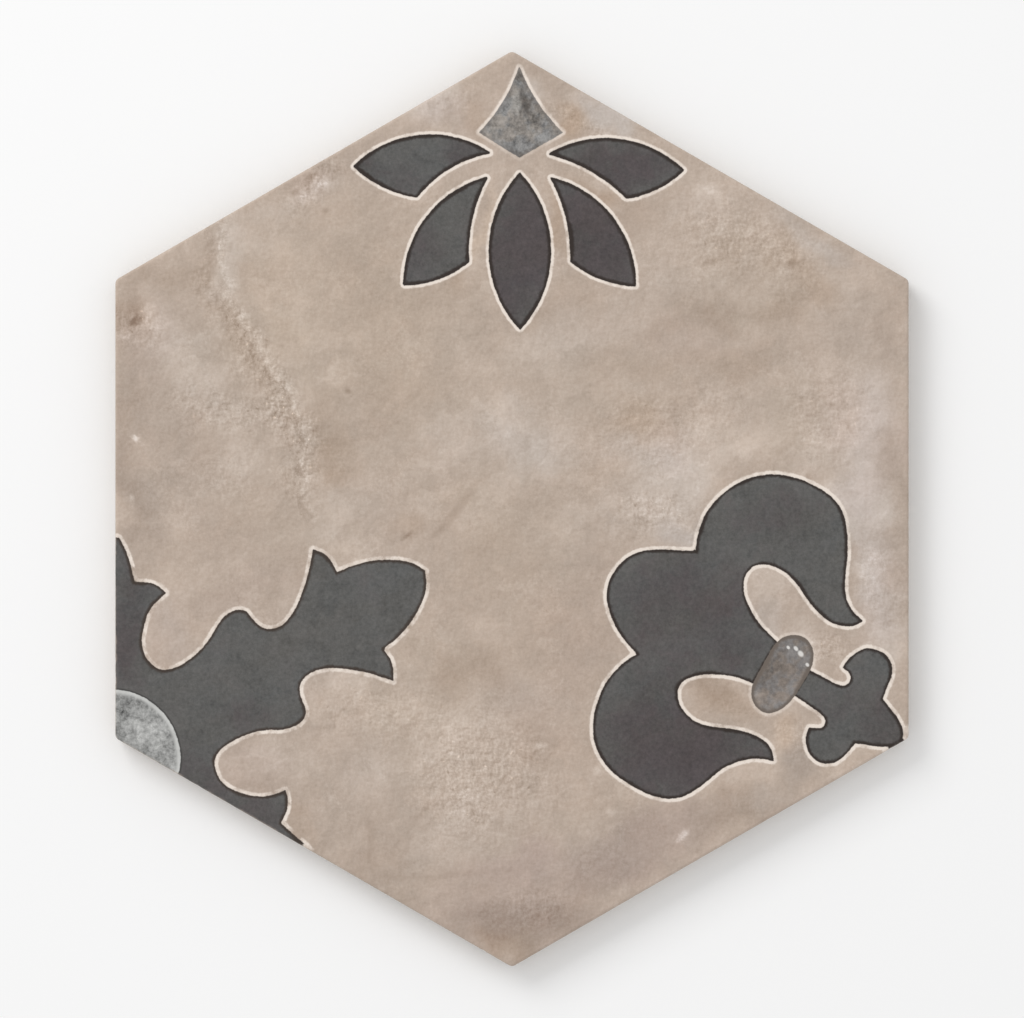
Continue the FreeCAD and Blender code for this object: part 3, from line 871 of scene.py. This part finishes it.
def print_finish():
    """Matt printed porcelain: a clouded stone ground and the inked drawing on it."""
    material, sheet = new_finish("matt printed porcelain")
    solid = sheet.node("TexCoord").out("Object") * (1 / MM)
    x, y, z = sheet.parts(solid)
    place = solid * (1.0, 1.0, 0.0)
    stored = {}
    for name in ("ink", "stone", "crack", "lighter", "warmer", "violet", "rosy", "rough", "marks"):
        stored[name] = sheet.node("Attribute", {"attribute_name": name}).out("Fac")

    # Noises that much else follows: one that tears borders, one for relief, one for fine grain
    tearing = sheet.node(
        "TexNoise",
        {"noise_dimensions": "2D"},
        {"Vector": place, "Scale": 1 / 5.0, "Detail": 2.0, "Roughness": 0.65},
    )
    torn = place + (tearing.out("Color") - 0.5) * 9.0
    ragged = place + (tearing.out("Color") - 0.5) * 3.0
    tear = tearing - 0.5
    relief = clouds(sheet, place, 3.2, 3.0, 0.7, apart=75)
    # painted light and shade: slopes of the relief facing the upper left made lighter, the others darker,
    # as if lit from there
    painted_relief_light = relief - clouds(sheet, place + (-0.45, 0.45, 0.0), 3.2, 3.0, 0.7, apart=75)
    grain = clouds(sheet, place, 1.0, 2.0, 0.75)
    mottle = clouds(sheet, torn, 11.0, 4.0, 0.68)
    streaked = laid_over(sheet, torn, (0.0, 0.0), 24, (3.2, 1.0))
    streaks = clouds(sheet, streaked, 9.0, 4.0, 0.66, apart=3)
    drift = clouds(sheet, place, 55.0, 3.0, 0.62, apart=5)
    cells = sheet.node(
        "TexVoronoi", {"voronoi_dimensions": "2D"}, {"Vector": ragged, "Scale": 1 / SPECK_SPACING}
    )
    chance = sheet.parts(cells.out("Color"))[0]

    # Ground: how much lighter or darker, and how much warmer, in steps on a screen
    rough = stored["rough"]
    tone = stored["lighter"] * (mottle * 1.4 + streaks * 0.9 + 1.1) + drift * 24.0 + 0.6
    tone = tone + mottle * 24.0 + streaks * 20.0
    tone = tone + relief * (rough * 22.0 + 12.0) + grain * (rough * 18.0 + 17.0)
    # painted highlights and shade of the fine relief, lit from the upper left
    tone = tone + painted_relief_light * (rough * 40.0 + 14.0)
    warmth = stored["warmer"] * 0.6 + drift * 4.0 + mottle * 4.0 + 0.6
    rosy = stored["rosy"] + mottle * 2.0
    film = sheet.step(clouds(sheet, torn, 20.0, 4.0, 0.7, apart=21), 0.03, 0.13)
    film = film * sheet.step(tear + grain * 0.5, -0.12, 0.08)
    tone = tone + film * 5.0

    # The crack: dark beads in a line, with a pale lip on its right, roughened by the relief's painted
    # highlights and shade
    crack = stored["crack"] + tear * 5.0
    upper = sheet.step(y, -12.0, 12.0) * (1 - sheet.step(y, 74.0, 86.0))
    beads = sheet.step(relief + grain * 0.6, -0.04, 0.05)
    line = (1 - sheet.step(abs(crack), 0.35, 1.3)) * upper * (1 - sheet.step(y, 48.0, 68.0) * 0.8)
    tone = tone - line * (beads * 30.0 - 9.0)
    lip = sheet.step(-crack, 0.5, 1.5) * (1 - sheet.step(-crack, 1.8, 5.0)) * upper
    tone = tone + lip * (17.0 - beads * 17.0 + painted_relief_light * 70.0)

    # Chips, nicks, brush strokes and scattered pores
    tone = tone + stored["marks"] * (grain * 1.2 + 1.0)
    pores = specks(sheet, cells, chance, 0.42, 0.22) * (rough * 0.8 + 0.25)
    flecks = specks(sheet, cells, 1 - chance, 0.42, 0.2) * rough
    tone = tone + flecks * 20.0 - pores * 16.0
    warmth = warmth + flecks * 3.0

    stops = [(place, (*linear(*colour), 1)) for place, *colour in GROUND_TONES]
    ground = sheet.node("ValToRGB", {"stops": stops}, {"Fac": tone / TONE_RANGE + 0.5})
    tint = sheet.vector(warmth * 0.012 + 1.009, 1.003 - rosy * 0.008, warmth * -0.014 + 1)
    ground = ground.work("MULTIPLY", ground, tint)

    # Drawing: a pale halo round each shape, a darker rim inside it, clouded ink within
    wobble = grain * 0.35 + tear * 0.3
    ink, stone = stored["ink"] + wobble, stored["stone"] + wobble
    in_fan = y > 45.0
    in_cross = (x < -15.0) * (y < 10.0)
    is_disc = x < -80.0
    is_diamond = y > 90.0
    under_diamond = 1 - sheet.step(y, 99.5, 104.0)
    stone_halo = sheet.step(stone, -1.3, -0.6) * (0.4 + is_diamond * (0.35 - under_diamond * 0.5))
    halo = sheet.larger(sheet.step(ink, -1.4, -0.85), stone_halo)
    halo = halo * (mottle * 2.2 + tear * 1.4 + relief * 1.8 + in_fan * 0.14 - in_cross * 0.32 + 0.96)
    ground = sheet.mix(halo, ground, linear(237, 225, 214))

    violet = stored["violet"] + mottle * 1.3 + 0.08
    dust = specks(sheet, cells, chance, 0.4, 0.12)
    ink_tone = mottle * 34.0 + grain * 30.0 + relief * 24.0 + dust * 5.0
    bloom = ink_tone * 0.022 + 1
    bluer = streaks * 0.09
    filled = sheet.mix(sheet.step(violet, 0.0, 1.0), linear(92.5, 91.5, 89.5), linear(78, 71, 71.5))
    filled = filled.work("MULTIPLY", filled, sheet.vector(bloom - bluer, bloom, bloom + bluer))
    rim_depth = sheet.step(sheet.larger(ink, stone) + mottle * 1.3, 0.15, 0.95)
    rim_colour = sheet.mix(in_cross, linear(46, 37, 32), linear(60, 50, 43))
    filled = sheet.mix(rim_depth, rim_colour, filled)
    face = sheet.mix(sheet.step(ink + in_fan * 0.14 - in_cross * 0.06, -0.38, -0.1), ground, filled)

    # Stones: diamond in the fan, oval on the lily, pale disc in the cross
    is_oval = (1 - is_disc) * (1 - is_diamond)
    stone_tone = (mottle * 140.0 + grain * 70.0 + relief * 70.0) * (1.1 - is_oval * 0.5 - is_diamond * 0.1)
    bluish = sheet.step(tear + streaks, -0.15, 0.15)
    diamond = sheet.mix(bluish, linear(136, 130, 124), linear(131, 130, 129))
    dark_spot = patch(sheet, ragged, 4.2, 110.5, 9, 5, -62)
    diamond = sheet.mix(dark_spot * 0.9, diamond, linear(88, 81, 75))
    pale_spot = patch(sheet, ragged, 1.0, 110.5, 6, 3.5, 80)
    diamond = sheet.mix(pale_spot * 0.6, diamond, linear(163, 160, 155))
    oval = sheet.mix(bluish, linear(129, 119, 111), linear(127, 123, 121))
    stone_colour = sheet.mix(is_diamond, oval, diamond)
    stone_colour = sheet.mix(is_disc, stone_colour, linear(152, 152, 150))
    stone_colour = stone_colour.work("MULTIPLY", stone_colour, sheet.vector(*[stone_tone * 0.017 + 1] * 3))
    dots = specks(sheet, cells, chance, 0.6, 0.5) * is_disc
    stone_colour = sheet.mix(dots * 0.5, stone_colour, linear(112, 112, 110))
    rim = (1 - sheet.step(stone + mottle * 1.5, 0.3, 1.3)) * (1 - is_diamond * 0.75)
    rim_colour = sheet.mix(is_disc, linear(108, 98, 90), linear(204, 204, 201))
    stone_colour = sheet.mix(rim * (1 - is_disc * (0.2 - mottle)), stone_colour, rim_colour)
    for chip in STONE_CHIPS:
        stone_colour = sheet.mix(patch(sheet, place, *chip, -50, 0.5), stone_colour, linear(220, 217, 213))
    outline = sheet.step(stone, -0.85, -0.4) * is_disc
    face = sheet.mix(outline, face, linear(66, 65, 63))
    on_stone = sheet.step(stone, -0.3, -0.06)
    face = sheet.mix(on_stone, face, stone_colour)

    # The arris has lost some of its print
    edge = (THICKNESS - z) / ARRIS_RADIUS
    worn = sheet.step(edge + mottle * 1.6, 0.05, 0.9) * sheet.step(edge, 0.0, 0.15)
    face = sheet.mix(worn * 0.6, face, linear(190, 176, 163))

    inked = sheet.larger(sheet.step(ink, -0.3, 0.0), on_stone)
    roughness = 0.62 - inked * 0.08 + mottle * 0.25 + film * 0.05
    height = relief * (rough * 0.8 + 1.0) + grain * 0.4 - line * 0.3
    close_finish(sheet, face, roughness, 0.3, height, 0.35, 0.0001)
    return material


def body_finish():
    """Bare fired body on the side and back: pale and dusty, rubbed on the ribs."""
    material, sheet = new_finish("bare fired porcelain")
    place = sheet.node("TexCoord").out("Object") * (1 / MM)
    y, z = sheet.parts(place)[1:]

    def grain(size, detail, roughness, apart):
        return uneven(sheet, "3D", place + (apart, apart, -apart), size, detail, roughness)

    tone = grain(38.0, 5.0, 0.6, 3.0) * 26.0 + grain(4.0, 4.0, 0.65, 14.0) * 14.0
    tone = tone + grain(0.8, 2.0, 0.7, 25.0) * 14.0
    body = sheet.mix(sheet.step(tone, -12.0, 12.0), linear(168, 154, 140), linear(193, 181, 167))
    dark_grit = sheet.step(grain(0.9, 1.0, 0.5, 36.0), 0.17, 0.23)
    body = sheet.mix(dark_grit * 0.55, body, linear(120, 108, 96))

    # Kiln wash: a white film on whatever stood on the rollers, thin where it rubbed off
    on_ribs = 1 - sheet.step(z, 0.05, 0.3)
    wash = sheet.step(grain(11.0, 5.0, 0.7, 50.0), -0.1, 0.12) * on_ribs
    rollers = sheet.step(sheet.math("SINE", (y + grain(40.0, 2.0, 0.5, 61.0) * 14.0) * 0.115), -0.2, 0.9)
    body = sheet.mix(wash * (rollers * 0.4 + 0.2), body, linear(222, 218, 210))
    # darker between about 0.35 and 1 mm above the back: in the recesses and at the bottom of the foot
    in_recess = sheet.step(z, 0.35, 0.75) * (1 - sheet.step(z, 0.9, 1.0))
    body = sheet.mix(in_recess * (0.3 + grain(5.0, 4.0, 0.6, 70.0)), body, linear(146, 134, 121))
    # scuffs on the side, and darker towards the foot
    on_side = sheet.step(z, 1.0, 1.4)
    scuffs = sheet.step(grain(3.0, 4.0, 0.7, 81.0), 0.03, 0.2) * on_side
    body = sheet.mix(scuffs * 0.35, body, linear(206, 198, 188))
    low = (1 - sheet.step(z, 1.0, 4.5)) * on_side
    body = sheet.mix(low * 0.35, body, linear(140, 128, 116))

    # The glaze ran a little over the arris: a thin skin with an uneven lower border
    run = z + grain(7.0, 4.0, 0.65, 110.0) * 7.0
    skin = sheet.step(run, 5.9, 6.6)
    drip = skin * (1 - sheet.step(run, 6.4, 7.3))
    body = sheet.mix(skin * 0.55, body, linear(204, 189, 174))
    body = sheet.mix(drip * 0.4, body, linear(160, 144, 129))

    relief = grain(1.2, 3.0, 0.65, 90.0) + grain(9.0, 2.0, 0.5, 95.0) * 1.5 - scuffs * 0.3
    roughness = 0.82 + grain(6.0, 3.0, 0.6, 99.0) * 0.2
    close_finish(sheet, body, roughness, 0.25, relief, 0.5, 0.00015)
    return material


def make_tile():
    face = printed_face()
    tile = bpy.data.objects.new("porcelain_tile", face)
    bpy.context.scene.collection.objects.link(tile)
    amounts = {
        "Thickness": THICKNESS * MM,
        "Arris Radius": ARRIS_RADIUS * MM,
        "Arris Steps": 5,
        "Foot Height": FOOT_HEIGHT * MM,
        "Foot Inset": FOOT_INSET * MM,
        "Recess Rings": KEY_RINGS,
        "Recess Pitch": KEY_PITCH * MM,
        "Recess Side": KEY_SIDE * MM,
        "Recess Depth": KEY_DEPTH * MM,
        "Recess Draft": math.radians(KEY_DRAFT),
        "Mouth Rounding": 0.3 * MM,
        "Arris Wear": 0.16 * MM,
        "Wear Seed": 4.0,
        "Print Finish": print_finish(),
        "Body Finish": body_finish(),
    }
    tree = body_nodes(amounts)
    modifier = tile.modifiers.new("pressed body", "NODES")
    modifier.node_group = tree
    for item in tree.interface.items_tree:
        if item.in_out == "INPUT" and item.name in amounts:
            modifier[item.identifier] = amounts[item.name]
    graph = bpy.context.evaluated_depsgraph_get()
    plain = bpy.data.meshes.new_from_object(
        tile.evaluated_get(graph), preserve_all_data_layers=True, depsgraph=graph
    )
    tile.modifiers.clear()
    tile.data = plain
    bpy.data.meshes.remove(face)
    plain.name = "porcelain_tile"
    finish_mesh(plain)
    unwrap(plain)
    return tile


tile = make_tile()
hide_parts("hexagon_tile")
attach(tile, "root")


# Pale floor, soft light from above and the left, and a camera straight over the tile
def make_floor():
    # A wide hexagon, open under the tile so that light from below still reaches the back
    mesh = bpy.data.meshes.new("floor")
    level = -0.05 * MM
    opening = (HALF - FOOT_INSET - 0.1) / math.cos(math.radians(30)) * MM
    reach = 7.0
    points = []
    for radius in (opening, reach):
        for corner in range(6):
            bearing = math.radians(60 * corner + 30)
            points.append((radius * math.cos(bearing), radius * math.sin(bearing), level))
    quads = [(k, k + 6, (k + 1) % 6 + 6, (k + 1) % 6) for k in range(6)]
    mesh.from_pydata(points, [], quads)
    floor = bpy.data.objects.new("floor", mesh)
    bpy.context.scene.collection.objects.link(floor)
    material, sheet = new_finish("pale floor")
    paper = sheet.node("BsdfDiffuse", None, {"Color": (0.97, 0.97, 0.97)})
    clear = sheet.node("BsdfTransparent")
    from_below = sheet.node("NewGeometry").out("Backfacing")
    seen = sheet.node("MixShader", None, {0: from_below, 1: paper, 2: clear})
    sheet.node("OutputMaterial", None, {"Surface": seen})
    mesh.materials.append(material)


def make_lights():
    world = bpy.data.worlds.new("studio")
    bpy.context.scene.world = world
    world.use_nodes = True
    sky = world.node_tree.nodes["Background"].inputs
    sky["Color"].default_value = (1, 1, 1, 1)
    sky["Strength"].default_value = 0.745
    lamp = bpy.data.lights.new("softbox", "AREA")
    lamp.size = 1.4
    lamp.energy = 24.0
    softbox = bpy.data.objects.new("softbox", lamp)
    bpy.context.scene.collection.objects.link(softbox)
    softbox.location = (-1.3, 1.5, 1.6)
    softbox.rotation_mode = "QUATERNION"
    softbox.rotation_quaternion = (-softbox.location).to_track_quat("-Z", "Y")


def make_camera():
    frame_width, frame_height = 1024, 1018
    share_of_height = 0.9
    shown_height = (ACROSS_FLATS / math.cos(math.radians(30))) / share_of_height * MM
    distance = 3.0
    camera = bpy.data.cameras.new("camera")
    camera.sensor_width = 36.0
    camera.lens = camera.sensor_width * distance / (shown_height * frame_width / frame_height)
    camera.clip_start, camera.clip_end = 0.1, 20.0
    camera_object = bpy.data.objects.new("camera", camera)
    bpy.context.scene.collection.objects.link(camera_object)
    camera_object.location = (0.0, 0.0, distance + THICKNESS * MM)
    bpy.context.scene.camera = camera_object


make_floor()
make_lights()
make_camera()
bpy.context.scene.view_settings.view_transform = "Standard"
